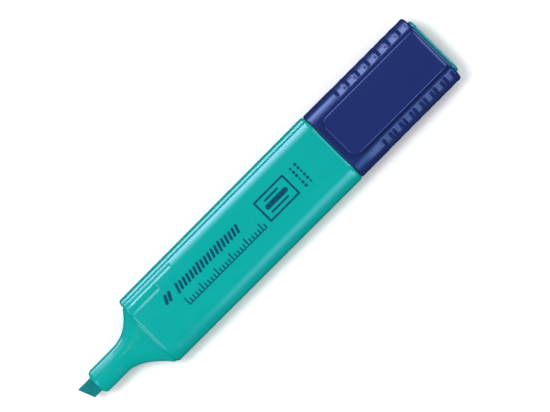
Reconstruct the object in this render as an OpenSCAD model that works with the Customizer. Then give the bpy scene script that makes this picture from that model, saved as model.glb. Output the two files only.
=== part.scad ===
// Flat-bodied highlighter with a chisel nib, lying on its back face with the cap
// posted on its rear end. Millimetres. +X runs from the nib to the posted cap, +Z up
// through the broad face that carries the clip. The origin is on the surface the pen
// lies on, midway along its length.

/* [Barrel] */
// Length of the flat-sided barrel, from the shoulder to the rear rim
barrel_l = 75.5; // [60:0.5:95]
// Width of the barrel across its narrow sides
barrel_w = 25; // [22:0.5:30]
// Thickness of the barrel between its broad faces
barrel_t = 14; // [12.5:0.5:17]
// Width taken up by each rounded narrow side
side_w = 5.4; // [4.8:0.1:6.5]
// Radius where a broad face turns into a narrow side
corner_r = 4.3; // [3.5:0.1:4.6]
// Wall of the barrel
wall = 1.5; // [1.2:0.1:1.8]

/* [Flutes] */
// Depth of the grip flutes along the front of one narrow side
flute_d = 0.3; // [0.15:0.05:0.4]
// Width of each grip flute
flute_w = 2.3; // [1.8:0.1:2.6]
// Length of the flute that bites into the broad face
flute_short_l = 11.6; // [8:0.2:16]
// Length of the flute next to it
flute_long_l = 18.3; // [17:0.2:26]

/* [Nose] */
// Length of the flare between the neck and the shoulder
flare_l = 12; // [10:0.5:15]
// Width of the flare where it meets the shoulder
flare_w = 20; // [16:0.5:20]
// Thickness of the flare where it meets the shoulder
flare_t = 9.6; // [9:0.2:10]
// Diameter of the round neck that the closed cap seals on
neck_d = 8.1; // [7.5:0.1:8.2]
// Length of the round neck
neck_l = 7; // [5:0.5:9]
// Length of the rounded nose in front of the neck
nose_l = 2.3; // [1.5:0.1:3]
// Diameter of the nose's front rim
nose_d = 6; // [5.8:0.1:6.6]
// Thickness of the web across the barrel behind the shoulder
web_t = 2; // [1.5:0.1:3]

/* [Nib] */
// Length of nib that stands out of the nose
nib_out = 5; // [4:0.2:7]
// Width of the nib
nib_w = 5; // [4:0.1:5.1]
// Thickness of the nib
nib_t = 3.6; // [2.6:0.1:3.8]
// Corner radius of the nib's section
nib_corner_r = 0.9; // [0.5:0.1:1.2]
// How far the slanted end falls back across the width
nib_slant = 2; // [1:0.1:3]
// Thickness of the nib's writing edge
nib_edge_t = 1.7; // [1:0.1:2.2]
// Length of the bevels that thin the nib to its edge
nib_bevel_l = 3; // [1.5:0.1:3.5]
// Depth of the nib's tail in the ink reservoir
nib_tail = 8; // [5:0.5:12]
// Play between the nib and the bore that holds it
nib_fit = 0.05; // [0.02:0.01:0.1]

/* [Reservoir] */
// Gap between the barrel's inner wall and the reservoir's film
reservoir_gap = 0.6; // [0.4:0.1:0.8]
// Thickness of the film around the reservoir
film_t = 0.2; // [0.15:0.05:0.3]
// Gap between the barrel's web and the front of the reservoir
core_front_gap = 1.5; // [1:0.1:3]
// Gap between the reservoir and the rear plug
core_rear_gap = 0.5; // [0.3:0.1:1]
// Thickness of the ribs that centre the reservoir
rib_t = 1.2; // [0.8:0.1:2]

/* [Rear plug] */
// Length of the plug inside the barrel
plug_in = 6; // [4:0.5:8]
// Length of the spigot that the posted cap sits on
spigot_l = 8; // [6:0.5:9]
// Wall of the plug and its spigot
plug_wall = 1.2; // [1:0.1:1.6]
// Play between the spigot and the inside of the cap
post_fit = 0.08; // [0.03:0.01:0.1]

/* [Cap] */
// Length of the cap's shell
cap_l = 40.7; // [38:0.5:50]
// Wall of the cap's shell
cap_wall = 1.5; // [1.2:0.1:1.8]
// How far the cap's outside lies below the barrel's
cap_step = 0.2; // [0:0.05:0.4]
// Gap between the rear rim and the mouth of the posted cap
mouth_gap = 0.1; // [0.05:0.05:0.3]
// Scallops along each narrow side
scallops = 7; // [3:1:7]
// Distance between scallops
scallop_pitch = 4.15; // [3.5:0.05:4.2]
// Width of a scallop
scallop_w = 3.3; // [2:0.1:3.4]
// Depth of a scallop
scallop_d = 0.3; // [0.1:0.05:0.4]
// Distance from the mouth to the first scallop
scallop_start = 13.05; // [9:0.05:14]

/* [Clip] */
// Width of the clip
clip_w = 14.5; // [8:0.5:14.5]
// Thickness of the clip
clip_t = 1.4; // [1:0.1:2]
// Gap between the clip and the cap
clip_gap = 1.1; // [0.9:0.1:2]
// Distance from the cap's mouth to the clip's free end
clip_start = 2.1; // [1:0.1:6]
// Distance from the clip's root to the cap's closed end
clip_end = 0.7; // [0.5:0.1:3]
// Length of the root block that carries the clip
clip_root_l = 7; // [5:0.5:10]
// Corner radius of the clip's free end
clip_corner_r = 2.7; // [1:0.1:4]
// Height of the gripping bead under the clip
clip_bead = 0.7; // [0.3:0.05:0.75]
// Distance from the clip's free end to the middle of the bead
clip_bead_in = 2; // [1:0.1:6]

/* [Inner cap] */
// Distance from the cap's mouth to the mouth of the sealing cup
cup_start = 13.5; // [13:0.5:15]
// Length of the sealing cup
cup_l = 16; // [14:0.5:18]
// Wall of the sealing cup
cup_wall = 0.9; // [0.7:0.1:1]
// Play between the neck and the sealing cup
cup_fit = 0.05; // [0.02:0.01:0.1]
// Thickness of the end plate inside the shell
plate_in = 2; // [1.5:0.1:3]
// How far the end plate stands out of the shell
plate_out = 1.1; // [0.5:0.1:2]
// Width of the shell's edge that shows around the end plate
plate_border = 1; // [0.6:0.1:1.2]
// Width of the plate's flat rim around its raised boss
boss_step = 1.3; // [0.8:0.1:2]
// Thickness of the sealing cup's floor
cup_floor = 1.2; // [0.8:0.1:2]
// Thickness of the crossed stem behind the cup
stem_t = 1.4; // [1:0.1:2]

/* [Hidden] */

$fn = 64;
teal = [0.01, 0.67, 0.66];
teal_dark = [0.0, 0.45, 0.43];
fibre = [0.25, 0.75, 0.72];
film = [0.85, 0.9, 0.9];
navy = [0.13, 0.19, 0.43];
eps = 0.01;

// Stations along the pen, from the nib's tip to the end plate
total_l = nib_out + nose_l + neck_l + flare_l + barrel_l + mouth_gap + cap_l + plate_out;
x_tip = -total_l / 2;
x_nose = x_tip + nib_out;
x_neck = x_nose + nose_l;
x_flare = x_neck + neck_l;
x_shoulder = x_flare + flare_l;
x_rim = x_shoulder + barrel_l;
x_mouth = x_rim + mouth_gap;
x_end = x_mouth + cap_l;
x_seat = x_end - plate_in;

// The pen's section: two broad faces, four corner arcs and two crowned narrow sides.
// Each side arc is tangent to its corner arcs, which fixes its radius and centre.
half_w = barrel_w / 2;
half_t = barrel_t / 2;
flat_half = half_w - side_w;
corner_z = half_t - corner_r;
side_r = (side_w * side_w + corner_z * corner_z - corner_r * corner_r)
       / (2 * (side_w - corner_r));
side_y = half_w - side_r;
side_angle = atan2(corner_z, flat_half - side_y);

// Insets of the nested pieces, measured square to the section's outline
cap_in = cap_step + cap_wall;
spigot_in = cap_in + post_fit;
film_in = wall + reservoir_gap;
core_in = film_in + film_t;
seat_in = cap_step + plate_border;
boss_in = seat_in + boss_step;

// Front web of the barrel, throat behind the nib bore, and the reservoir between them
x_web = x_shoulder + web_t;
throat_d = flare_t - 2 * wall;
x_core = x_web + core_front_gap;
x_plug = x_rim - plug_in;
x_core_end = x_plug - core_rear_gap;
// Outer ribs stand at this share of the flat half width, on both sides of the middle one
rib_spread = 0.6;

// Sealing cup of the inner cap
cup_d = neck_d + 2 * cup_fit;
cup_out_d = cup_d + 2 * cup_wall;
x_cup = x_mouth + cup_start;
x_cup_end = x_cup + cup_l;

// Clip, measured from the cap's top face
cap_top = half_t - cap_step;
clip_low = cap_top + clip_gap;
x_clip = x_mouth + clip_start;
x_clip_end = x_end - clip_end;
x_clip_root = x_clip_end - clip_root_l;

// Radius of a round-bottomed cut of a given width and depth
function cut_r(w, d) = (w * w / 4 + d * d) / (2 * d);

// Turn a profile drawn in the YZ plane so that its extrusion runs along X
module along_x() rotate([90, 0, 90]) children();

// One quarter of the section's outline, from the middle of a narrow side to a broad
// face. Both arcs are drawn as short flats at fixed angles, so that nested pieces meet
// flat to flat.
side_flats = 9;
corner_flats = 6;
function arc_point(centre, r, a) = [centre[0] + r * cos(a), centre[1] + r * sin(a)];
function quarter(inset) = concat(
    [for (i = [0:side_flats])
        arc_point([side_y, 0], side_r - inset, side_angle * i / side_flats)],
    [for (i = [1:corner_flats])
        arc_point([flat_half, corner_z], corner_r - inset,
                  side_angle + (90 - side_angle) * i / corner_flats)]);

// The pen's section in the YZ plane, inset all round
module section(inset) {
    q = quarter(inset);
    last = len(q) - 1;
    polygon(concat(
        [for (i = [0:last]) q[i]],
        [for (i = [last:-1:0]) [-q[i][0], q[i][1]]],
        [for (i = [1:last]) [-q[i][0], -q[i][1]]],
        [for (i = [last:-1:1]) [q[i][0], -q[i][1]]]));
}

// Straight bar of the pen's section from x0 to x1
module pen_bar(x0, x1, inset = 0) {
    translate([x0, 0, 0]) along_x() linear_extrude(x1 - x0) section(inset);
}

// Flat profile with rounded corners, centred
module rounded_rect(w, h, r) {
    square([w, h - 2 * r], center = true);
    square([w - 2 * r, h], center = true);
    for (i = [-1, 1], k = [-1, 1])
        translate([i * (w / 2 - r), k * (h / 2 - r)]) circle(r);
}

// Region under an arc that leaves the neck square to its front and rises by rise
// over the length of the flare, drawn with the pen's axis along X
module flare_outline(rise) {
    r = (flare_l * flare_l + rise * rise) / (2 * rise);
    difference() {
        translate([0, -eps]) square([flare_l, neck_d / 2 + rise + eps]);
        translate([0, neck_d / 2 + r]) circle(r, $fn = 256);
    }
}

// Flare from the round neck to its flat base: a turned horn, flattened above and below
module flare() {
    translate([x_flare, 0, 0]) intersection() {
        along_x() rotate_extrude() mirror([1, -1]) intersection() {
            flare_outline((flare_w - neck_d) / 2);
            square([flare_l, flare_w]);
        }
        rotate([90, 0, 0]) linear_extrude(2 * flare_w, center = true)
            for (m = [0, 1]) mirror([0, m]) flare_outline((flare_t - neck_d) / 2);
    }
}

// Neck with its rounded nose, as a turned profile
module neck_and_nose() {
    rise = (neck_d - nose_d) / 2;
    nose_r = (nose_l * nose_l + rise * rise) / (2 * rise);
    translate([x_nose, 0, 0]) along_x() rotate_extrude() {
        translate([0, nose_l]) square([neck_d / 2, neck_l + 0.5]);
        intersection() {
            square([neck_d / 2, nose_l + eps]);
            translate([neck_d / 2 - nose_r, nose_l]) circle(nose_r, $fn = 128);
        }
    }
}

// Grip flutes along the +Y narrow side and its two corners: the angle of each one's
// middle from the vertical, and its length
flute_rows = [[6, flute_short_l], [36, flute_long_l], [57, barrel_l]];

// Round-bottomed channels of the grip, above and below
module flutes() {
    q = cut_r(flute_w, flute_d);
    for (f = flute_rows) {
        on_side = 90 - f[0] < side_angle;
        centre = on_side ? [side_y, 0] : [flat_half, corner_z];
        reach = (on_side ? side_r : corner_r) + q - flute_d;
        for (m = [0, 1]) mirror([0, 0, m])
            translate([x_shoulder - 1, 0, 0]) along_x()
                translate(centre + reach * [sin(f[0]), cos(f[0])])
                    cylinder(r = q, h = f[1] + 1);
    }
}

// One-piece moulded body: barrel, shoulder, flare, neck and nose
module barrel() {
    color(teal) difference() {
        union() {
            difference() {
                pen_bar(x_shoulder, x_rim);
                flutes();
            }
            flare();
            neck_and_nose();
        }
        pen_bar(x_web, x_rim + 1, wall);
        translate([x_flare, 0, 0]) along_x() cylinder(d = throat_d, h = flare_l + web_t + 1);
        translate([x_nose - 1, 0, 0]) along_x() linear_extrude(nose_l + neck_l + 2)
            rounded_rect(nib_w + 2 * nib_fit, nib_t + 2 * nib_fit, nib_corner_r);
    }
    color(teal) reservoir_ribs();
}

// Ribs that centre the reservoir and leave air around it
module reservoir_ribs() {
    l = x_plug - x_web;
    for (m = [-1, 1], k = [-1:1])
        translate([x_web, k * rib_spread * flat_half - rib_t / 2,
                   m > 0 ? half_t - film_in : wall - half_t])
            cube([l, rib_t, reservoir_gap]);
}

// Rear plug, pressed into the barrel, with the spigot that the posted cap sits on
module rear_plug() {
    color(teal) difference() {
        union() {
            pen_bar(x_plug, x_rim, wall);
            pen_bar(x_rim - 1, x_rim + spigot_l, spigot_in);
        }
        pen_bar(x_plug - 1, x_rim + spigot_l - plug_wall, spigot_in + plug_wall);
    }
}

// Nib blank: rounded bar with a slanted end, bevelled to a thin writing edge
module nib_bar(l) {
    translate([x_tip, 0, 0]) along_x() linear_extrude(l) rounded_rect(nib_w, nib_t, nib_corner_r);
}

module chisel_nib() {
    l = x_core + nib_tail - x_tip;
    color(teal_dark) intersection() {
        nib_bar(l);
        translate([0, 0, -nib_t]) linear_extrude(2 * nib_t)
            polygon([[x_tip, nib_w / 2], [x_tip + nib_slant, -nib_w / 2],
                     [x_tip + l, -nib_w / 2], [x_tip + l, nib_w / 2]]);
        rotate([90, 0, 0]) linear_extrude(2 * nib_w, center = true)
            polygon([[x_tip, nib_edge_t / 2], [x_tip, -nib_edge_t / 2],
                     [x_tip + nib_bevel_l + nib_slant / 2, -nib_t / 2], [x_tip + l, -nib_t / 2],
                     [x_tip + l, nib_t / 2], [x_tip + nib_bevel_l + nib_slant / 2, nib_t / 2]]);
    }
}

// Bonded-fibre ink reservoir, with a pocket where the nib's tail presses in
module reservoir_core() {
    color(fibre) difference() {
        pen_bar(x_core, x_core_end, core_in);
        translate([x_core - 1, 0, 0]) along_x() linear_extrude(nib_tail + 1)
            rounded_rect(nib_w, nib_t, nib_corner_r);
    }
}

// Plastic film wrapped around the reservoir, open at both ends
module reservoir_film() {
    color(film) difference() {
        pen_bar(x_core, x_core_end, film_in);
        pen_bar(x_core - 1, x_core_end + 1, core_in);
    }
}

// Scallops across both narrow sides of the cap
module cap_scallops() {
    q = cut_r(scallop_w, scallop_d);
    for (i = [0:scallops - 1], m = [-1, 1])
        translate([x_mouth + scallop_start + i * scallop_pitch,
                   m * (half_w - cap_step - scallop_d + q), 0])
            cylinder(r = q, h = 2 * barrel_t, center = true);
}

// Cap shell, open at the mouth, with a seat for the end plate and the clip's root block
module cap_shell() {
    color(navy) difference() {
        union() {
            pen_bar(x_mouth, x_end, cap_step);
            translate([x_clip_root, -clip_w / 2, cap_top - 0.5])
                cube([clip_root_l, clip_w, clip_low + clip_t - cap_top + 0.5]);
        }
        pen_bar(x_mouth - 1, x_seat, cap_in);
        pen_bar(x_seat - eps, x_end + 1, seat_in);
        cap_scallops();
    }
}

// Clip tongue with rounded free corners and a gripping bead underneath
module cap_clip() {
    l = x_clip_root - x_clip;
    color(navy) {
        translate([x_clip, 0, clip_low]) linear_extrude(clip_t) {
            translate([clip_corner_r, -clip_w / 2]) square([l - clip_corner_r, clip_w]);
            translate([0, clip_corner_r - clip_w / 2])
                square([l, clip_w - 2 * clip_corner_r]);
            for (m = [-1, 1])
                translate([clip_corner_r, m * (clip_w / 2 - clip_corner_r)])
                    circle(clip_corner_r);
        }
        translate([x_clip + clip_bead_in, 0, clip_low]) rotate([90, 0, 0])
            cylinder(r = clip_bead, h = clip_w - 2 * clip_corner_r, center = true);
    }
}

// Inner cap: end plate in the ink's colour, a crossed stem and the cup that seals the neck
module inner_cap() {
    stem_l = x_seat - x_cup_end;
    color(teal) {
        pen_bar(x_seat, x_end, seat_in);
        pen_bar(x_end - eps, x_end + plate_out, boss_in);
        difference() {
            translate([x_cup, 0, 0]) along_x() cylinder(d = cup_out_d, h = cup_l);
            translate([x_cup - 1, 0, 0]) along_x()
                cylinder(d = cup_d, h = cup_l - cup_floor + 1);
        }
        translate([x_cup_end - eps, -cup_out_d / 2, -stem_t / 2])
            cube([stem_l + 2 * eps, cup_out_d, stem_t]);
        translate([x_cup_end - eps, -stem_t / 2, -cup_out_d / 2])
            cube([stem_l + 2 * eps, stem_t, cup_out_d]);
    }
}

// Lift the pen so that its back face lies on z = 0
module lifted() translate([0, 0, half_t]) children();

lifted() barrel();
lifted() rear_plug();
lifted() chisel_nib();
lifted() reservoir_core();
lifted() reservoir_film();
lifted() cap_shell();
lifted() cap_clip();
lifted() inner_cap();
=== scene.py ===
# %% [markdown]
# # A flat-bodied highlighter, from frame to finished render
# The pen lies on its back with the cap pushed onto its rear end and its chisel nib bare.
# The CAD frame already holds where every part sits and how it moves. This lesson gives
# each part its moulded shape and its finish: rounded rims, grip flutes, scallops, printed
# marks, plastic, fibre and film. Everything is in metres, in the frame's own axes: +X
# runs from the nib to the cap's closed end and +Z points up.

# %% Load the frame
import math

import bmesh
import bpy
from mathutils import Matrix, Vector


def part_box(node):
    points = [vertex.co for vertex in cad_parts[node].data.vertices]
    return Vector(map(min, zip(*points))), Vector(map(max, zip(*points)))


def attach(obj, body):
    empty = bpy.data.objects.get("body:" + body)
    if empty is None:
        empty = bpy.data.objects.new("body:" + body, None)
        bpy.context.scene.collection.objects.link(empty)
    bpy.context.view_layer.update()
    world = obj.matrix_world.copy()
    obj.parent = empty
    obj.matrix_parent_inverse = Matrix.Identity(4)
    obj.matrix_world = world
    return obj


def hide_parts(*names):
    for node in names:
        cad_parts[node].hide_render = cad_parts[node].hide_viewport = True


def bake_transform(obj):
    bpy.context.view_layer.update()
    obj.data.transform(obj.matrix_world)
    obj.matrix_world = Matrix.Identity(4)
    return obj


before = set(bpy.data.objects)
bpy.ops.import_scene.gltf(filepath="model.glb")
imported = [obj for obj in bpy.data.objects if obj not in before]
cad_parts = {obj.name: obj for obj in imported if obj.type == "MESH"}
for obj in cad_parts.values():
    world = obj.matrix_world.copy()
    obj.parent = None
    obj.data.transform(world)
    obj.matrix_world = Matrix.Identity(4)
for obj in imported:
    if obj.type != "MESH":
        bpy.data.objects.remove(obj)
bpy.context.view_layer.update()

print("nodes:", sorted(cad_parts))

# %% [markdown]
# ## Measuring the parts
# A maker measures before cutting. Each part's box gives the stations along the pen, so
# that a new piece lands where its simple stand-in was. Sizes that a box can't tell, such
# as a corner's radius, are written once here in millimetres and turned into metres.

# %% Stations and sizes
mm = 0.001
barrel_lo, barrel_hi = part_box("barrel")
plug_lo, plug_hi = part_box("rear_plug")
nib_lo, nib_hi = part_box("chisel_nib")
shell_lo, shell_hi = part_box("cap_shell")
clip_lo, clip_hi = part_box("cap_clip")
inner_lo, inner_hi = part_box("inner_cap")

axis_z = (barrel_lo.z + barrel_hi.z) / 2
half_w = barrel_hi.y
half_t = barrel_hi.z - axis_z
x_nose, x_rim = barrel_lo.x, barrel_hi.x
x_mouth, x_end = shell_lo.x, shell_hi.x
cap_step = half_w - shell_hi.y

side_w, corner_r, wall = 5.4 * mm, 4.3 * mm, 1.5 * mm
nose_l, neck_l, flare_l = 2.3 * mm, 7.0 * mm, 12.0 * mm
nose_r, neck_r = 3.0 * mm, 4.05 * mm
flare_fluted_w, flare_plain_w, flare_half_t = 9.9 * mm, 11.6 * mm, 4.8 * mm
web_t = 2.0 * mm
x_neck = x_nose + nose_l
x_flare = x_neck + neck_l
x_shoulder = x_flare + flare_l
print(f"pen axis {axis_z / mm:.1f} mm up, shoulder at {x_shoulder / mm:.2f} mm")

# %% [markdown]
# ## One outline for the whole pen
# Barrel, plug, cap and end plate share one section: two broad flats, four corner arcs and
# two crowned narrow sides. Only a quarter of it is worked out, and the rest is mirrored.
# Each point also remembers which way is outward and how far round the outline it lies, so
# that later steps can carve the surface along a formula instead of by hand.

# %% The pen's section, and two simpler outlines with as many points
side_steps, corner_steps, flat_steps = 30, 20, 30
quarter_steps = side_steps + corner_steps + flat_steps
flat_half = half_w - side_w
corner_z = half_t - corner_r
side_r = (side_w ** 2 + corner_z ** 2 - corner_r ** 2) / (2 * (side_w - corner_r))
side_y = half_w - side_r
side_angle = math.atan2(corner_z, flat_half - side_y)


def mirrored(point, across, up):
    """The same outline point on another quarter of the section."""
    y, z, out_y, out_z, reach = point
    return (across * y, up * z, across * out_y, up * out_z, across * reach)


def whole_outline(quarter, top):
    """Mirror a quarter, which runs from the narrow side's middle up to before top."""
    back = [top] + quarter[:0:-1]
    return (quarter + [mirrored(p, -1, 1) for p in back]
            + [mirrored(p, -1, -1) for p in quarter] + [mirrored(p, 1, -1) for p in back])


def pen_section(inset=0.0):
    """The pen's section, inset all round. The last value is the way round from the top."""
    quarter = []
    for i in range(side_steps):
        a = side_angle * i / side_steps
        reach = flat_half + corner_r * (math.pi / 2 - side_angle) + side_r * (side_angle - a)
        quarter.append((side_y + (side_r - inset) * math.cos(a), (side_r - inset) * math.sin(a),
                        math.cos(a), math.sin(a), reach))
    for i in range(corner_steps):
        a = side_angle + (math.pi / 2 - side_angle) * i / corner_steps
        quarter.append((flat_half + (corner_r - inset) * math.cos(a),
                        corner_z + (corner_r - inset) * math.sin(a),
                        math.cos(a), math.sin(a), flat_half + corner_r * (math.pi / 2 - a)))
    for i in range(flat_steps):
        y = flat_half * (1 - i / flat_steps)
        quarter.append((y, half_t - inset, 0.0, 1.0, y))
    return whole_outline(quarter, (0.0, half_t - inset, 0.0, 1.0, 0.0))


def oval(half_across, half_up, power=2.0):
    """An ellipse, or a squarer oval where power is over 2."""
    quarter = []
    for i in range(quarter_steps):
        a = math.pi / 2 * i / quarter_steps
        y = half_across * math.cos(a) ** (2 / power)
        z = half_up * math.sin(a) ** (2 / power)
        quarter.append((y, z, math.cos(a), math.sin(a), 0.0))
    return whole_outline(quarter, (0.0, half_up, 0.0, 1.0, 0.0))


def rounded_bar(half_across, half_up, radius):
    """A rectangle with rounded corners."""
    quarter = []
    straight = quarter_steps // 4
    for i in range(straight):
        quarter.append((half_across, (half_up - radius) * i / straight, 1.0, 0.0, 0.0))
    arc = quarter_steps - 2 * straight
    for i in range(arc):
        a = math.pi / 2 * i / arc
        quarter.append((half_across - radius + radius * math.cos(a),
                        half_up - radius + radius * math.sin(a), math.cos(a), math.sin(a), 0.0))
    for i in range(straight):
        quarter.append(((half_across - radius) * (1 - i / straight), half_up, 0.0, 1.0, 0.0))
    return whole_outline(quarter, (0.0, half_up, 0.0, 1.0, 0.0))


print(f"{4 * quarter_steps} points in each outline, side radius {side_r / mm:.2f} mm")

# %% [markdown]
# ## Lofting by extruding a ring
# A moulded shell could be cut from solids, but a cut leaves hard, uneven edges. Here one
# ring of edges is extruded again and again, and each new ring is moved to its station and
# outline. The mesh stays in clean quads, so every rounding is as fine as it needs to be.
# A ring that ends where it began closes the shell through its own bore.

# %% Loft helpers
sharp_angle, seam = 35, 2e-7


def ring(x, outline, carve=None):
    """An outline placed at a station, cut inwards by carve(x, point) where given."""
    places = []
    for point in outline:
        y, z, out_y, out_z, reach = point
        depth = carve(x, point) if carve else 0.0
        places.append(Vector((x, y - depth * out_y, axis_z + z - depth * out_z)))
    return places


def extrude_through(bm, rings, cap_start=False, cap_end=False):
    """Extrude the first ring through all the others. Equal first and last rings meet."""
    place = bm.verts.layers.int.get("place") or bm.verts.layers.int.new("place")
    first = [bm.verts.new(p) for p in rings[0]]
    for i, vert in enumerate(first):
        vert[place] = i
    loop = [bm.edges.new((a, b)) for a, b in zip(first, first[1:] + first[:1])]
    if cap_start:
        bmesh.ops.contextual_create(bm, geom=loop)
    for places in rings[1:]:
        grown = bmesh.ops.extrude_edge_only(bm, edges=loop)["geom"]
        fresh = {g for g in grown if isinstance(g, bmesh.types.BMVert)}
        for vert in fresh:
            vert.co = places[vert[place]]
        loop = [g for g in grown if isinstance(g, bmesh.types.BMEdge)
                and g.verts[0] in fresh and g.verts[1] in fresh]
    if cap_end:
        bmesh.ops.contextual_create(bm, geom=loop)


def rounding(x_from, x_to, inset_from, inset_to, steps=6, start_flat=True):
    """Stations and insets along a quarter-round between two surfaces at right angles."""
    pairs = []
    for i in range(steps + 1):
        a = math.pi / 2 * i / steps
        along, across = math.sin(a), 1 - math.cos(a)
        if start_flat:
            along, across = 1 - math.cos(a), math.sin(a)
        pairs.append((x_from + (x_to - x_from) * along,
                      inset_from + (inset_to - inset_from) * across))
    return pairs


def finished_piece(name, bm, sharp=sharp_angle, merge=seam):
    """Turn a bmesh into an object with merged seams, outward faces and smooth shading."""
    bmesh.ops.remove_doubles(bm, verts=bm.verts, dist=merge)
    bmesh.ops.recalc_face_normals(bm, faces=bm.faces)
    for face in bm.faces:
        face.smooth = True
    mesh = bpy.data.meshes.new(name)
    bm.to_mesh(mesh)
    bm.free()
    mesh.set_sharp_from_angle(angle=math.radians(sharp))
    piece = bpy.data.objects.new(name, mesh)
    bpy.context.scene.collection.objects.link(piece)
    loose = sum(1 for edge in mesh.edges if edge.is_loose)
    print(f"{name}: {len(mesh.polygons)} faces, {loose} loose edges")
    return piece


print(f"edges sharper than {sharp_angle} degrees stay crisp")

# %% [markdown]
# ## Grip flutes
# The front of one narrow side is stepped for the fingers. Each flute has a short steep
# riser and a longer tread that runs back out to the surface, and the third one runs the
# barrel's whole length. They could be cut with cylinders, but carving the ring's own
# points keeps the mesh whole, and the risers catch the light as thin bright lines.

# %% Flutes as a carving formula
flutes = [
    # start, deepest and end of the flute round the outline, its depth and its length
    (5.80 * mm, 6.65 * mm, 8.45 * mm, 0.47 * mm, 11.6 * mm),
    (8.45 * mm, 9.25 * mm, 10.25 * mm, 0.31 * mm, 18.3 * mm),
    (10.90 * mm, 12.05 * mm, 13.20 * mm, 0.28 * mm, x_rim - x_shoulder),
]
flute_fade = 0.5 * mm
draft = 0.2 * mm


def smooth_step(t):
    """0 before 0, 1 after 1 and an even curve between."""
    t = min(max(t, 0.0), 1.0)
    return t * t * (3 - 2 * t)


def flute_depth(x, point):
    """How deep the flutes cut at a station and a place round the outline."""
    reach, total = point[4], 0.0
    for start, deepest, end, depth, length in flutes:
        if start < reach < end:
            rise = (reach - start) / (deepest - start)
            fall = (end - reach) / (end - deepest)
            gone = smooth_step((x - x_shoulder - length) / flute_fade + 0.5)
            total += depth * min(rise, fall) * (1 - gone)
    return total


def barrel_inset(x):
    """The mould's draft: the barrel narrows a little towards its shoulder."""
    return draft * (x_rim - x) / (x_rim - x_shoulder)


print("flute lengths in mm:", [round(flute[4] / mm, 1) for flute in flutes])

# %% [markdown]
# ## The barrel
# The barrel, shoulder, flare, neck and nose are one moulding. The loft starts in the nib's
# bore, turns over the nose, follows the neck and the flare, steps out at the shoulder, runs
# to the rear rim and comes back along the inside to the bore. So the shell has real walls
# and a real mouth, and nothing has to be joined afterwards.

# %% Stations of the barrel's outside
shoulder_round, flare_fillet = 0.9 * mm, 0.6 * mm
rim_round_l, rim_round = 1.2 * mm, 0.4 * mm
nib_play, nib_corner_r = 0.05 * mm, 0.9 * mm
nib_half_w, nib_half_t = nib_hi.y, (nib_hi.z - nib_lo.z) / 2
bore = rounded_bar(nib_half_w + nib_play, nib_half_t + nib_play, nib_corner_r)
throat_r = flare_half_t - wall
fluted_swell, plain_swell, top_swell, squareness = 2.7, 1.8, 2, 0.7
neck_steps, flare_steps, fillet_steps, body_steps = 4, 28, 5, 36


def nose_rings():
    """Out of the bore, over the rounded nose and along the neck."""
    lip, round_l = 0.2 * mm, 1.5 * mm
    rings = [ring(x_flare, bore), ring(x_nose + lip, bore), ring(x_nose, bore)]
    rings.append(ring(x_nose, oval(nose_r - 2 * lip, nose_r - 2 * lip)))
    for x, cut in rounding(x_nose, x_nose + lip, lip, 0.0)[:-1]:
        rings.append(ring(x, oval(nose_r - cut, nose_r - cut)))
    for x, cut in rounding(x_nose + lip, x_nose + round_l, neck_r - nose_r, 0.0, steps=14):
        rings.append(ring(x, oval(neck_r - cut, neck_r - cut)))
    return rings + [ring(x_neck + neck_l * i / neck_steps, oval(neck_r, neck_r))
                    for i in range(1, neck_steps + 1)]


def flare_outline(t, grow=0.0):
    """The flare's section at a share t of its length. Its plain side swells earlier."""
    fluted = neck_r + (flare_fluted_w - neck_r) * t ** fluted_swell + grow
    plain = neck_r + (flare_plain_w - neck_r) * t ** plain_swell + grow / 4
    up = neck_r + (flare_half_t - neck_r) * t ** top_swell + grow
    return [(y if y > 0 else y * plain / fluted, z, out_y, out_z, reach)
            for y, z, out_y, out_z, reach in oval(fluted, up, 2 + squareness * smooth_step(t))]


def flare_rings():
    """From the round neck to the squarer oval that meets the shoulder, with a fillet."""
    rings = [ring(x_flare + (flare_l - flare_fillet) * i / flare_steps,
                  flare_outline(i / flare_steps)) for i in range(1, flare_steps + 1)]
    for i in range(1, fillet_steps + 1):
        a = math.pi / 2 * i / fillet_steps
        rings.append(ring(x_shoulder - flare_fillet * (1 - math.sin(a)),
                          flare_outline(1.0, flare_fillet * (1 - math.cos(a)))))
    return rings


def body_stations():
    """Even stations along the barrel, with closer ones where a flute ends."""
    near, far = x_shoulder + shoulder_round, x_rim - rim_round_l
    stations = [near + (far - near) * i / body_steps for i in range(body_steps + 1)]
    for length in (flutes[0][4], flutes[1][4]):
        stations += [x_shoulder + length + flute_fade * k / 8 for k in range(-5, 6)]
    return sorted(stations)


print(f"{len(nose_rings()) + len(flare_rings())} rings up to the shoulder")

# %% Build the barrel
rings = nose_rings() + flare_rings()
rings += [ring(x, pen_section(cut + barrel_inset(x)), flute_depth) for x, cut in
          rounding(x_shoulder, x_shoulder + shoulder_round, shoulder_round, 0.0)]
rings += [ring(x, pen_section(barrel_inset(x)), flute_depth) for x in body_stations()[1:]]
rings += [ring(x, pen_section(cut), flute_depth) for x, cut in
          rounding(x_rim - rim_round_l, x_rim, 0.0, rim_round, start_flat=False)[1:]]
x_web = x_shoulder + web_t
rings += [ring(x_rim, pen_section(wall)), ring(x_web, pen_section(wall))]
rings += [ring(x_web, oval(throat_r, throat_r)), ring(x_flare, oval(throat_r, throat_r))]
rings.append(ring(x_flare, bore))
bm = bmesh.new()
extrude_through(bm, rings)
barrel_body = finished_piece("barrel_body", bm)
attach(barrel_body, "pen")
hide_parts("barrel")

# %% [markdown]
# ## The chisel nib
# The nib is a bar of bonded fibre, cut on a slant and thinned to a writing edge. It is
# lofted as a rounded bar and then cut with planes, as the real one is ground, so the long
# corner and the two bevels come out crisp. A small bevel softens the ground edges, which
# wear first. Its tail reaches back into the ink reservoir.

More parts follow.
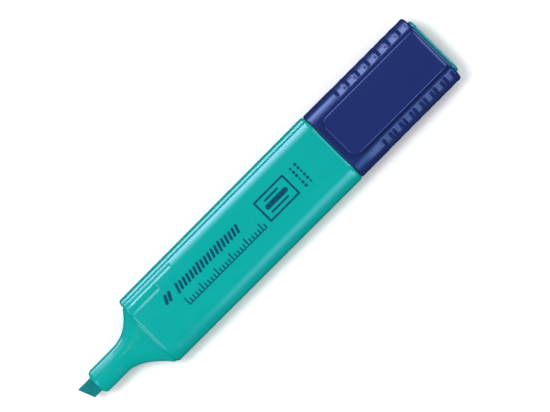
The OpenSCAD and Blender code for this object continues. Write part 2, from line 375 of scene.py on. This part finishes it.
# %% Build the nib
nib_slant, nib_edge_t, nib_bevel_l = 2.0 * mm, 1.7 * mm, 3.0 * mm
nib_wear, ground_angle, cut_slack = 0.12 * mm, 0.4, 1e-8
nib_seam, nib_sharp = 1e-6, 40
nib_outline = rounded_bar(nib_half_w, nib_half_t, nib_corner_r)
bm = bmesh.new()
nib_stations = [nib_lo.x + step for step in (0.0, 2.0 * mm, 4.5 * mm)] + [x_nose, nib_hi.x]
extrude_through(bm, [ring(x, nib_outline) for x in nib_stations], True, True)


def cut_off(bm, point, outward):
    """Grind off what lies beyond a plane and close the cut."""
    geom = bm.verts[:] + bm.edges[:] + bm.faces[:]
    cut = bmesh.ops.bisect_plane(bm, geom=geom, dist=cut_slack, plane_co=point,
                                 plane_no=outward, clear_outer=True)["geom_cut"]
    rim = [g for g in cut if isinstance(g, bmesh.types.BMEdge)]
    bmesh.ops.contextual_create(bm, geom=rim)


tip = Vector((nib_lo.x, nib_half_w, axis_z))
cut_off(bm, tip, Vector((-2 * nib_half_w, -nib_slant, 0)).normalized())
for up in (-1, 1):
    edge_point = Vector((nib_lo.x, nib_half_w, axis_z + up * nib_edge_t / 2))
    along_edge = Vector((nib_slant, -2 * nib_half_w, 0))
    down_bevel = Vector((nib_bevel_l, 0, up * (nib_half_t - nib_edge_t / 2)))
    outward = along_edge.cross(down_bevel).normalized()
    outward *= up if outward.z > 0 else -up
    cut_off(bm, edge_point, outward)
bmesh.ops.remove_doubles(bm, verts=bm.verts, dist=nib_seam)
worn = [e for e in bm.edges if len(e.link_faces) == 2
        and e.calc_face_angle() > ground_angle and max(v.co.x for v in e.verts) < x_nose]
bmesh.ops.bevel(bm, geom=worn, offset=nib_wear, offset_type="OFFSET", segments=3,
                profile=0.5, material=-1, affect="EDGES", clamp_overlap=True)
fibre_nib = finished_piece("fibre_nib", bm, nib_sharp, nib_seam)
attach(fibre_nib, "pen")
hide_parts("chisel_nib")

# %% [markdown]
# ## The rear plug
# This plug closes the barrel behind the ink reservoir, and its spigot is what the posted
# cap grips. It shows when the cap is pulled off, so it gets a rounded leading edge, a
# shallow panel in its end and a hollow back, as a moulded plug has.

# %% Build the plug
spigot_in, plug_wall, spigot_round = 1.78 * mm, 1.2 * mm, 0.8 * mm
panel_in, panel_d = 2.2 * mm, 0.4 * mm
x_inside = plug_hi.x - plug_wall
rings = [ring(plug_lo.x, pen_section(spigot_in + plug_wall)),
         ring(plug_lo.x, pen_section(wall)), ring(x_rim, pen_section(wall)),
         ring(x_rim, pen_section(spigot_in)),
         ring(plug_hi.x - spigot_round, pen_section(spigot_in))]
rings += [ring(x, pen_section(cut)) for x, cut in
          rounding(plug_hi.x - spigot_round, plug_hi.x, spigot_in, spigot_in + spigot_round,
                   start_flat=False)[1:]]
panel_w, panel_h, panel_power = flat_half + panel_in, half_t - 2 * panel_in, 3.2
rings += [ring(plug_hi.x, oval(panel_w, panel_h, panel_power)),
          ring(plug_hi.x - panel_d, oval(panel_w - panel_d, panel_h - panel_d, panel_power))]
bm = bmesh.new()
extrude_through(bm, rings, cap_end=True)
extrude_through(bm, [ring(plug_lo.x, pen_section(spigot_in + plug_wall)),
                     ring(x_inside, pen_section(spigot_in + plug_wall))], cap_end=True)
end_plug = finished_piece("end_plug", bm)
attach(end_plug, "pen")
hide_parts("rear_plug")

# %% [markdown]
# ## The cap's shell
# The cap has the barrel's section a hair smaller, a rounded mouth and a row of scallops
# on all four corners. The scallops are another carving formula on the ring: a flat facet
# across the corner in each valley, and a hump between two valleys. Flat facets mirror
# the light as bright squares, which plain hollows would smear. The loft goes in at the
# closed end as the end plate's seat and back out of the mouth.

# %% Scallops as a carving formula
cap_wall, plate_in, seat_in = 1.5 * mm, 2.0 * mm, 1.2 * mm
scallop_count, scallop_pitch = 7, 4.15 * mm
ridge_half_w, scallop_d, scallop_tilt = 1.18 * mm, 0.37 * mm, math.radians(45)
side_dip, hump_power = 0.08 * mm, 1.3
x_scallop = x_mouth + 13.05 * mm
print(f"{scallop_count} scallops, {scallop_pitch / mm:.2f} mm apart")


def scallop_depth(x, point):
    """A flat facet across the corner in each valley, with a humped ridge between two."""
    turn = math.atan2(abs(point[2]), abs(point[3]))
    radius = corner_r - cap_step
    facet = radius - (radius - scallop_d) / math.cos(turn - scallop_tilt)
    facet = max(facet, 0.0) + side_dip * math.sin(turn) ** 4
    place = (x - x_scallop) / scallop_pitch + 0.5
    if not 0 < place < scallop_count:
        return 0.0
    off = abs(place - round(place)) * scallop_pitch / ridge_half_w
    return facet * min(off, 1.0) ** hump_power


# %% Build the shell
mouth_round, end_round = 0.5 * mm, 0.7 * mm
cap_in = cap_step + cap_wall
rings = [ring(x, pen_section(cut)) for x, cut in
         rounding(x_mouth, x_mouth + mouth_round, cap_step + mouth_round, cap_step)]
steps_each = 18
zone_start = x_scallop - scallop_pitch / 2
for i in range(scallop_count * steps_each + 1):
    x = zone_start + scallop_pitch * i / steps_each
    if x < x_end - end_round:
        rings.append(ring(x, pen_section(cap_step), scallop_depth))
rings += [ring(x, pen_section(cut), scallop_depth) for x, cut in
          rounding(x_end - end_round, x_end, cap_step, cap_step + end_round,
                   start_flat=False)]
x_seat = x_end - plate_in
rings += [ring(x_end, pen_section(seat_in)), ring(x_seat, pen_section(seat_in)),
          ring(x_seat, pen_section(cap_in)), ring(x_mouth + mouth_round, pen_section(cap_in)),
          ring(x_mouth, pen_section(cap_in - mouth_round))]
rings.append(rings[0])
bm = bmesh.new()
extrude_through(bm, rings)
cap_body = finished_piece("cap_body", bm)
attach(cap_body, "cap")
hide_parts("cap_shell")

# %% [markdown]
# ## The clip
# The clip and its root are one tongue of plastic that stands off the cap and bends near
# its root. It starts as a box and its underside is pulled down at the root. Bevels round
# its front corners, its rear edge and the rim that catches the light, and a small bead
# under its free end holds a pocket. Cuts every few millimetres give the mesh something to
# bend with.

# %% Build the clip
clip_half_w, clip_t, clip_corner_r = clip_hi.y, 1.4 * mm, 2.7 * mm
clip_bead, clip_bead_in = 0.7 * mm, 2.0 * mm
rear_round, rim_bevel, under_bevel, root_fillet = 1.1 * mm, 0.5 * mm, 0.3 * mm, 0.5 * mm
root_gap, root_sunk, near_enough, corner_angle = 0.7 * mm, 0.3 * mm, 1e-6, 1.0
x_root, x_clip_end = clip_hi.x, x_end - root_gap
cap_top = axis_z + half_t - cap_step
clip_low = clip_hi.z - clip_t
bm = bmesh.new()
bmesh.ops.create_cube(bm, size=1.0)
bmesh.ops.scale(bm, verts=bm.verts, vec=(x_clip_end - clip_lo.x, 2 * clip_half_w, clip_t))
bmesh.ops.translate(bm, verts=bm.verts, vec=((x_clip_end + clip_lo.x) / 2, 0,
                                             clip_low + clip_t / 2))
bmesh.ops.bisect_plane(bm, geom=bm.verts[:] + bm.edges[:] + bm.faces[:],
                       plane_co=(x_root, 0, 0), plane_no=(1, 0, 0))
foot = [f for f in bm.faces if f.normal.z < -0.9 and f.calc_center_median().x > x_root]
grown = bmesh.ops.extrude_face_region(bm, geom=foot)["geom"]
bmesh.ops.delete(bm, geom=foot, context="FACES_ONLY")
sunk = [g for g in grown if isinstance(g, bmesh.types.BMVert)]
bmesh.ops.translate(bm, verts=sunk, vec=(0, 0, cap_top - root_sunk - clip_low))
bmesh.ops.recalc_face_normals(bm, faces=bm.faces)


def edges_where(bm, test):
    """The edges whose two ends both pass a test on their place."""
    return [e for e in bm.edges if all(test(v.co) for v in e.verts)]


def corners(edges):
    """The edges of a selection where two faces meet at a real corner."""
    return [e for e in edges if len(e.link_faces) == 2 and e.calc_face_angle() > corner_angle]


def soften(bm, edges, offset, segments, clamp=False):
    """Round edges off with a bevel."""
    bmesh.ops.bevel(bm, geom=edges, offset=offset, offset_type="OFFSET", segments=segments,
                    profile=0.5, material=-1, affect="EDGES", clamp_overlap=clamp)


upright = [e for e in edges_where(bm, lambda p: p.x < clip_lo.x + near_enough)
           if abs(e.verts[0].co.z - e.verts[1].co.z) > clip_t / 2]
soften(bm, upright, clip_corner_r, 12)
rear_edge = edges_where(bm, lambda p: p.x > x_clip_end - near_enough
                        and p.z > clip_hi.z - near_enough)
soften(bm, rear_edge, rear_round, 8)
inner_corner = [e for e in edges_where(bm, lambda p: abs(p.x - x_root) < near_enough)
                if abs(e.verts[0].co.y - e.verts[1].co.y) > clip_half_w
                and e.verts[0].co.z < clip_low + near_enough]
soften(bm, inner_corner, root_fillet, 4)
rim = edges_where(bm, lambda p: p.z > clip_hi.z - near_enough
                  or p.x > x_clip_end - rear_round - near_enough)
rim = [e for e in corners(rim) if max(v.co.z for v in e.verts) > clip_low - near_enough]
soften(bm, rim, rim_bevel, 5)
under = edges_where(bm, lambda p: abs(p.z - clip_low) < near_enough and p.x < x_root)
soften(bm, corners(under), under_bevel, 4, clamp=True)
bend_cuts = 14
for i in range(1, bend_cuts):
    x = clip_lo.x + clip_corner_r + (x_root - clip_lo.x) * i / bend_cuts
    bmesh.ops.bisect_plane(bm, geom=bm.verts[:] + bm.edges[:] + bm.faces[:],
                           plane_co=(x, 0, 0), plane_no=(1, 0, 0))
bead = bmesh.ops.create_cone(bm, cap_ends=True, segments=32, radius1=clip_bead,
                             radius2=clip_bead, depth=2 * (clip_half_w - clip_corner_r))
across = Matrix.Translation((clip_lo.x + clip_bead_in, 0, clip_low)) @ \
    Matrix.Rotation(math.pi / 2, 4, "X")
bmesh.ops.transform(bm, matrix=across, verts=bead["verts"])
cap_tongue = finished_piece("cap_tongue", bm)
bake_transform(cap_tongue)
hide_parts("cap_clip")

# %% [markdown]
# ## The inner cap
# One moulding in the ink's colour does two jobs: its plate closes the cap's end and shows
# as a coloured rim, and its cup seals the neck when the cap is on the nib. The plate is
# lofted, the cup is a turned profile, so it is spun, and a crossed stem joins them.

# %% Build the plate, the cup and the stem
plate_play, plate_edge = 0.03 * mm, 0.2 * mm
boss_in, boss_round = 2.5 * mm, 0.5 * mm
cup_r, cup_wall, cup_floor, cup_l = neck_r + 0.05 * mm, 0.9 * mm, 1.2 * mm, 16.0 * mm
cup_lip, stem_t, stem_overlap = 0.3 * mm, 1.4 * mm, 0.1 * mm
x_cup, x_cup_end = inner_lo.x, inner_lo.x + cup_l
x_plate = inner_hi.x
bm = bmesh.new()
rings = [ring(x_seat, pen_section(seat_in + plate_play)),
         ring(x_end - plate_edge, pen_section(seat_in + plate_play)),
         ring(x_end, pen_section(seat_in + plate_edge)), ring(x_end, pen_section(boss_in))]
rings += [ring(x, pen_section(cut)) for x, cut in
          rounding(x_plate - boss_round, x_plate, boss_in, boss_in + boss_round,
                   start_flat=False)]
extrude_through(bm, rings, True, True)
profile = [(x_cup_end, 0.0), (x_cup_end, cup_r + cup_wall - cup_lip),
           (x_cup_end - cup_lip, cup_r + cup_wall), (x_cup + cup_lip, cup_r + cup_wall),
           (x_cup, cup_r + cup_wall - cup_lip), (x_cup, cup_r + cup_lip),
           (x_cup + cup_lip, cup_r), (x_cup_end - cup_floor, cup_r),
           (x_cup_end - cup_floor, 0.0)]
corner_verts = [bm.verts.new((x, 0.0, axis_z + r)) for x, r in profile]
path = [bm.edges.new(pair) for pair in zip(corner_verts, corner_verts[1:])]
bmesh.ops.spin(bm, geom=corner_verts + path, cent=(0, 0, axis_z), axis=(1, 0, 0),
               angle=2 * math.pi, steps=72, use_merge=True)
for turn in (0.0, math.pi / 2):
    blade = bmesh.ops.create_cube(bm, size=1.0)["verts"]
    size = Matrix.Diagonal((x_seat - x_cup_end + stem_overlap,
                            2 * (cup_r + cup_wall) - cup_lip, stem_t, 1.0))
    centre = Matrix.Translation(((x_seat + x_cup_end) / 2, 0, axis_z))
    bmesh.ops.transform(bm, matrix=centre @ Matrix.Rotation(turn, 4, "X") @ size, verts=blade)
inner_moulding = finished_piece("inner_moulding", bm)
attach(inner_moulding, "cap")
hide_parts("inner_cap")

# %% [markdown]
# ## The printed marks
# The barrel carries pad-printed marks. They are made of plain strokes and dashes, not of
# letters: a hatch of bold strokes, a row of thin dashes, a page with one line highlighted,
# and two short stacks of ticks. Ink could be painted with a mask in the material, but thin
# bars of mesh keep sharp edges at any distance, and each sits two hundredths of a
# millimetre proud, as a real film of ink does.

# %% Stroke helper
ink_t, end_share = 0.02 * mm, 0.49
bm_print = bmesh.new()


def stroke(x, y, length, width, turn=0.0):
    """A flat bar of ink with rounded ends. turn is in degrees from the pen's length."""
    made = bmesh.ops.create_grid(bm_print, x_segments=1, y_segments=1, size=0.5)["verts"]
    shape = Matrix.Rotation(math.radians(turn), 4, "Z") @ Matrix.Diagonal((length, width, 1, 1))
    bmesh.ops.transform(bm_print, matrix=Matrix.Translation((x, y, 0)) @ shape, verts=made)
    bmesh.ops.bevel(bm_print, geom=made, offset=min(length, width) * end_share,
                    offset_type="OFFSET", segments=4, profile=0.5, material=-1,
                    affect="VERTICES")


print(f"ink {ink_t / mm:.2f} mm thick")

# %% Lay out the marks along the broad face
def to_pen(across, along):
    """Marks are laid out in millimetres: along from the shoulder, across from the middle."""
    return x_shoulder + along * mm, across * mm


bold_row, bold_start, bold_pitch, bold_count, bold_w, bold_lean = 2.65, 15.3, 1.42, 18, 0.82, 72
x, y = to_pen(bold_row, 11.3)
for side in (-1, 1):
    stroke(x + side * 0.75 * mm, y, 3.2 * mm, 1.0 * mm, 62)
for i in range(bold_count):
    x, y = to_pen(bold_row, bold_start + bold_pitch * i)
    stroke(x, y, (2.9 if i % 6 else 3.4) * mm, bold_w * mm, bold_lean)
dash_row, dash_start, dash_pitch, dash_count, dash_w, base_w = -3.2, 14.6, 1.2, 27, 0.42, 0.32
x, y = to_pen(dash_row, dash_start + dash_pitch * (dash_count - 1) / 2)
stroke(x, y, 31.6 * mm, base_w * mm)
for i in range(dash_count):
    tall = 2.6 if i % 5 == 0 else 1.5
    x, y = to_pen(dash_row + tall / 2, dash_start + dash_pitch * i)
    stroke(x, y, tall * mm, dash_w * mm, 90)
page_along, page_mid, page_l, page_w, page_line = 53.7, 0.75, 11.4, 7.0, 0.6
for side in (-1, 1):
    x, y = to_pen(side * page_w / 2 + page_mid, page_along)
    stroke(x, y, page_l * mm, page_line * mm)
    x, y = to_pen(page_mid, page_along + side * page_l / 2)
    stroke(x, y, (page_w + 0.5) * mm, page_line * mm, 90)
for row, length, width in ((-1, 7.0, page_line), (0, 8.6, 1.6), (1, 5.6, page_line)):
    x, y = to_pen(page_mid + row * 1.9, page_along - 0.4 * abs(row))
    stroke(x, y, length * mm, width * mm)
tick_start, tick_row, tick_l, tick_step, stack_gap = 3.9, 62.4, 1.0, 1.3, 1.9
for column in (0, 1):
    for i in range(6):
        x, y = to_pen(tick_start - tick_step * i, tick_row + stack_gap * column)
        stroke(x, y, tick_l * mm, (0.9 if (i + column) % 3 else 0.45) * mm, 90)
print(f"{len(bm_print.faces)} flat marks")

# %% Give the ink its thickness and lay it on the drafted face
faces = bm_print.faces[:]
grown = bmesh.ops.extrude_face_region(bm_print, geom=faces)["geom"]
lifted = {g for g in grown if isinstance(g, bmesh.types.BMVert)}
for vert in bm_print.verts:
    top = axis_z + half_t - barrel_inset(vert.co.x)
    vert.co.z = top + (ink_t if vert in lifted else -ink_t)
ink_seam = 1e-9
barrel_print = finished_piece("barrel_print", bm_print, merge=ink_seam)
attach(barrel_print, "pen")

# %% [markdown]
# ## Materials
# Every finish here is made from nodes. They read Object coordinates, which are metres in
# the pen's own frame, so a pattern keeps its real scale. A small helper adds and wires
# nodes, to keep each material short enough to read.

# %% Node helpers
def new_material(name):
    """A material with its Principled shader and its Object coordinates ready to use."""
    material = bpy.data.materials.new(name)
    material.use_nodes = True
    tree = material.node_tree
    shader = tree.nodes["Principled BSDF"]
    place = tree.nodes.new("ShaderNodeTexCoord").outputs["Object"]
    return material, tree, shader, place


def noise(tree, place, scale, detail=3.0, stretch=(1, 1, 1)):
    """A noise pattern, scale in lumps per metre, stretched along the axes."""
    mapping = tree.nodes.new("ShaderNodeMapping")
    mapping.inputs["Scale"].default_value = stretch
    tree.links.new(place, mapping.inputs["Vector"])
    node = tree.nodes.new("ShaderNodeTexNoise")
    node.inputs["Scale"].default_value = scale
    node.inputs["Detail"].default_value = detail
    tree.links.new(mapping.outputs["Vector"], node.inputs["Vector"])
    return node.outputs["Fac"]


def ramp(tree, value, low, high, at=(0.3, 0.7)):
    """Turn a pattern into a range of colours, or of greys where low and high are numbers."""
    node = tree.nodes.new("ShaderNodeValToRGB")
    for element, place, colour in zip(node.color_ramp.elements, at, (low, high)):
        element.position = place
        element.color = (*colour, 1) if isinstance(colour, tuple) else (colour,) * 3 + (1,)
    tree.links.new(value, node.inputs["Fac"])
    return node.outputs["Color"]


def mixed(tree, factor, first, second, mode="MIX"):
    """Blend two colours by a pattern."""
    node = tree.nodes.new("ShaderNodeMix")
    node.data_type = "RGBA"
    node.blend_type = mode
    for socket, value in ((node.inputs["Factor"], factor), (node.inputs[6], first),
                          (node.inputs[7], second)):
        if isinstance(value, (tuple, float, int)):
            socket.default_value = (*value, 1) if isinstance(value, tuple) else value
        else:
            tree.links.new(value, socket)
    return node.outputs[2]


def bump(tree, shader, height, strength, distance):
    """Raise or lower the surface by a pattern, distance in metres."""
    node = tree.nodes.new("ShaderNodeBump")
    node.inputs["Strength"].default_value = strength
    node.inputs["Distance"].default_value = distance
    tree.links.new(height, node.inputs["Height"])
    tree.links.new(node.outputs["Normal"], shader.inputs["Normal"])


print("helpers for noise, ramps, mixes and bumps are ready")

# %% [markdown]
# ## Moulded plastic
# Injection-moulded polypropylene is not one flat colour. The melt flows from the gate and
# leaves faint streaks along the pen, the surface has a fine spark-eroded grain that breaks
# up reflections, and handling polishes some patches and scuffs the proud edges. Each of
# those is one layer of noise here, and the edge scuffs follow the mesh's pointiness.

# %% Plastic
def moulded_plastic(name, colour, streak, scuff, roughness, specular=0.5,
                    tint=(1.0, 1.0, 1.0)):
    """Satin moulded plastic: streaked colour, scuffed edges, uneven gloss and fine grain."""
    material, tree, shader, place = new_material(name)
    flow = noise(tree, place, 260.0, 4.0, (0.12, 1, 1))
    cloud = noise(tree, place, 90.0, 3.0)
    body = mixed(tree, ramp(tree, flow, 0.0, 1.0), colour, streak)
    body = mixed(tree, ramp(tree, cloud, 0.0, 0.35), body, colour)
    edge = tree.nodes.new("ShaderNodeNewGeometry").outputs["Pointiness"]
    rubbed = ramp(tree, edge, 0.0, 0.35, (0.53, 0.62))
    specks = ramp(tree, noise(tree, place, 2600.0, 4.0), 0.0, 1.0, (0.45, 0.7))
    body = mixed(tree, mixed(tree, 1.0, rubbed, specks, "MULTIPLY"), body, scuff)
    tree.links.new(body, shader.inputs["Base Color"])
    gloss = ramp(tree, noise(tree, place, 420.0, 5.0, (0.5, 1, 1)), roughness - 0.02,
                 roughness + 0.03, (0.35, 0.65))
    tree.links.new(gloss, shader.inputs["Roughness"])
    bump(tree, shader, noise(tree, place, 5200.0, 2.0), 0.12, 0.00002)
    shader.inputs["IOR"].default_value = 1.49
    shader.inputs["Specular IOR Level"].default_value = specular
    shader.inputs["Specular Tint"].default_value = (*tint, 1)
    return material


barrel_plastic = moulded_plastic("turquoise_plastic", (0.0004, 0.303, 0.281),
                                 (0.0004, 0.288, 0.267), (0.001, 0.37, 0.35), 0.145)
plug_plastic = moulded_plastic("turquoise_plug_plastic", (0.0004, 0.287, 0.267),
                               (0.0004, 0.270, 0.253), (0.001, 0.36, 0.34), 0.18)
inner_plastic = moulded_plastic("turquoise_inner_plastic", (0.0004, 0.265, 0.275),
                                (0.0004, 0.25, 0.26), (0.001, 0.34, 0.34), 0.18)
cap_plastic = moulded_plastic("navy_plastic", (0.0115, 0.0222, 0.116),
                              (0.0107, 0.0208, 0.108), (0.02, 0.035, 0.15), 0.155,
                              0.38, (0.6, 0.8, 1.0))
print("plastics:", [m.name for m in (barrel_plastic, plug_plastic, inner_plastic, cap_plastic)])

# %% [markdown]
# ## Ink-soaked fibre
# The nib is a bundle of fine fibres running along the pen, glued and soaked with ink. Noise
# stretched along X makes the strands, and a finer one makes the pores.
# The reservoir is the same stuff, looser and paler.

# %% Fibre
def soaked_fibre(name, dark, light, strand, depth):
    """Bonded fibres along X: streaked colour, rough and faintly woolly."""
    material, tree, shader, place = new_material(name)
    strands = noise(tree, place, strand, 6.0, (0.06, 1, 1))
    pores = noise(tree, place, strand * 2.2, 3.0, (0.35, 1, 1))
    body = mixed(tree, ramp(tree, strands, 0.0, 1.0, (0.36, 0.64)), dark, light)
    body = mixed(tree, ramp(tree, pores, 0.0, 0.5, (0.55, 0.7)), body, dark)
    tree.links.new(body, shader.inputs["Base Color"])
    tree.links.new(ramp(tree, pores, 0.5, 0.8), shader.inputs["Roughness"])
    bump(tree, shader, strands, 0.6, depth)
    shader.inputs["Specular IOR Level"].default_value = 0.12
    shader.inputs["Sheen Weight"].default_value = 0.02
    return material


nib_fibre = soaked_fibre("ink_soaked_fibre", (0.0006, 0.10, 0.105), (0.001, 0.21, 0.215),
                         4200.0, 0.00006)
core_fibre = soaked_fibre("reservoir_fibre_bundle", (0.01, 0.30, 0.28), (0.06, 0.52, 0.49),
                          2400.0, 0.0001)
print("fibres:", nib_fibre.name, core_fibre.name)

# %% [markdown]
# ## Film and ink
# The film round the reservoir is thin clear plastic with a few long creases. The printed
# ink is a darker film that lies slightly uneven on the plastic, so its colour and its
# gloss both vary a little.

# %% Film and ink
def crinkled_film(name):
    """Clear wrap: mostly transparent, with creases along the bundle."""
    material, tree, shader, place = new_material(name)
    creases = noise(tree, place, 700.0, 4.0, (0.15, 1, 1))
    tint = mixed(tree, ramp(tree, creases, 0.0, 1.0), (0.78, 0.86, 0.86), (0.92, 0.96, 0.96))
    tree.links.new(tint, shader.inputs["Base Color"])
    tree.links.new(ramp(tree, creases, 0.12, 0.3), shader.inputs["Roughness"])
    bump(tree, shader, creases, 0.5, 0.00008)
    shader.inputs["Transmission Weight"].default_value = 0.6
    return material


def printed_ink(name, colour, thin):
    """Pad-printed ink: patchy where it lies thin."""
    material, tree, shader, place = new_material(name)
    patches = noise(tree, place, 1500.0, 4.0)
    body = mixed(tree, ramp(tree, patches, 0.0, 1.0, (0.42, 0.75)), colour, thin)
    tree.links.new(body, shader.inputs["Base Color"])
    tree.links.new(ramp(tree, patches, 0.30, 0.45), shader.inputs["Roughness"])
    bump(tree, shader, noise(tree, place, 6000.0), 0.2, 0.00001)
    shader.inputs["Specular IOR Level"].default_value = 0.08
    return material


reservoir_film = crinkled_film("clear_wrap")
print_ink = printed_ink("printed_ink", (0.0004, 0.044, 0.088), (0.0005, 0.085, 0.130))
print("films:", reservoir_film.name, print_ink.name)

# %% Put the finishes on
finishes = {
    barrel_body: barrel_plastic, barrel_print: print_ink, fibre_nib: nib_fibre,
    end_plug: plug_plastic, cap_body: cap_plastic, cap_tongue: cap_plastic,
    inner_moulding: inner_plastic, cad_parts["reservoir_core"]: core_fibre,
    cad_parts["reservoir_film"]: reservoir_film,
}
for piece, material in finishes.items():
    if not piece.material_slots:
        piece.data.materials.append(material)
    for material_slot in piece.material_slots:
        material_slot.material = material
    print(f"{piece.name}: {material.name}")

# %% [markdown]
# ## Table, light and camera
# The pen lies on a pale sheet under a pale sky. One lamp above it gives the soft shadow,
# and is hidden from reflections, so the broad faces keep their full colour. All the shine
# comes from lamps that light nothing and show only in gloss. Upright strips stand beside
# the pen, one behind another and each taller than the last, so the bright line on each
# rounded corner fades out in steps. Short strips add the neck's, the flare's and the
# cap's own shine, and boxes off both ends light the nib, the scallops and the rims.

# %% Pale floor
bm = bmesh.new()
bmesh.ops.create_grid(bm, x_segments=8, y_segments=8, size=1.5)
floor = finished_piece("floor", bm)
material, tree, shader, place = new_material("pale_sheet")
tooth = noise(tree, place, 900.0, 3.0)
tree.links.new(ramp(tree, tooth, (0.85, 0.85, 0.85), (0.88, 0.88, 0.88)),
               shader.inputs["Base Color"])
shader.inputs["Roughness"].default_value = 0.9
shader.inputs["Specular IOR Level"].default_value = 0.2
bump(tree, shader, tooth, 0.1, 0.0001)
floor.data.materials.append(material)
floor.visible_glossy = False

# %% Lights
def softbox(name, place, aim, size, radiance, colour, lights_surfaces):
    """A rectangular lamp that faces aim. It either lights surfaces or shows in gloss."""
    lamp = bpy.data.lights.new(name, "AREA")
    lamp.shape = "RECTANGLE"
    lamp.size, lamp.size_y = size
    lamp.energy = radiance * math.pi * size[0] * size[1]
    lamp.color = colour
    holder = bpy.data.objects.new(name, lamp)
    holder.location = place
    holder.rotation_euler = (Vector(aim) - Vector(place)).to_track_quat("-Z", "Y").to_euler()
    holder.visible_camera = False
    holder.visible_diffuse = lights_surfaces
    holder.visible_glossy = not lights_surfaces
    bpy.context.scene.collection.objects.link(holder)


def side_strip(name, side, away, lowest, highest, x_span, radiance, colour):
    """An upright strip beside the pen, between two angles measured from straight up."""
    top, bottom = (away / math.tan(math.radians(a)) for a in (highest, lowest))
    middle, height = (top + bottom) / 2, top - bottom
    x = sum(x_span) / 2
    softbox(name, (x, side * away, middle), (x, 0, middle), (x_span[1] - x_span[0], height),
            radiance, colour, False)


cool, sea, daylight = (0.58, 0.64, 1.0), (0.35, 0.70, 1.0), (1.0, 0.99, 0.98)
softbox("overhead_lamp", (-0.24, 0.24, 1.0), (0, 0, 0), (0.3, 0.3), 21.0, daylight, True)
for name, away, lowest, highest, radiance in (
        ("tall", 0.65, 106, 32, 1.6), ("upper", 0.60, 102, 42, 2.0),
        ("middle", 0.55, 99, 54, 3.0), ("low", 0.50, 97, 66, 4.0)):
    side_strip(f"fluted_side_{name}", 1, away, lowest, highest, (-0.095, 0.15), radiance, cool)
side_strip("neck_side", 1, 0.45, 112, 96, (-0.25, -0.085), 6.0, cool)
side_strip("flare_side", 1, 0.70, 112, 50, (-0.4, -0.09), 1.4, cool)
for name, away, lowest, highest, radiance in (
        ("tall", 0.65, 100, 28, 1.0), ("middle", 0.60, 86, 38, 1.4), ("low", 0.55, 78, 48, 1.4)):
    side_strip(f"plain_side_{name}", -1, away, lowest, highest, (-0.05, 0.15), radiance, sea)
side_strip("plain_side_cap", -1, 0.5, 100, 40, (0.058, 0.15), 3.6, cool)
softbox("nib_end_box", (-0.6, 0, 0.27), (0, 0, 0.05), (0.24, 0.6), 3.6, cool, False)
softbox("cap_end_box", (0.7, 0, 0.27), (0, 0, 0.05), (0.24, 0.6), 8.0, cool, False)
softbox("cap_end_high_box", (0.45, 0, 0.75), (0, 0, 0), (0.24, 0.3), 4.5, sea, False)
world = bpy.data.worlds.new("studio")
world.use_nodes = True
sky = world.node_tree.nodes["Background"]
sky.inputs["Color"].default_value = (0.97, 0.99, 1.0, 1)
sky.inputs["Strength"].default_value = 1.0
world.cycles_visibility.glossy = False
bpy.context.scene.world = world
bpy.context.scene.view_settings.view_transform = "Standard"
print(f"{len(bpy.data.lights)} lamps and a pale world")

# %% Camera
view_width, lens, sensor = 159.5 * mm, 200.0, 36.0
aim = Vector((6.25 * mm, -0.26 * mm, axis_z))
pen_turn, lean = math.radians(45.07), math.radians(2.0)
camera_data = bpy.data.cameras.new("overhead_camera")
camera_data.lens, camera_data.sensor_width = lens, sensor
camera = bpy.data.objects.new("overhead_camera", camera_data)
view = Matrix.Rotation(lean, 4, "X") @ Matrix.Rotation(-pen_turn, 4, "Z")
distance = Matrix.Translation((0, 0, view_width * lens / sensor))
camera.matrix_world = Matrix.Translation(aim) @ view @ distance
bpy.context.scene.collection.objects.link(camera)
bpy.context.scene.camera = camera
print(f"camera {camera.matrix_world.translation.z:.3f} m above the floor")
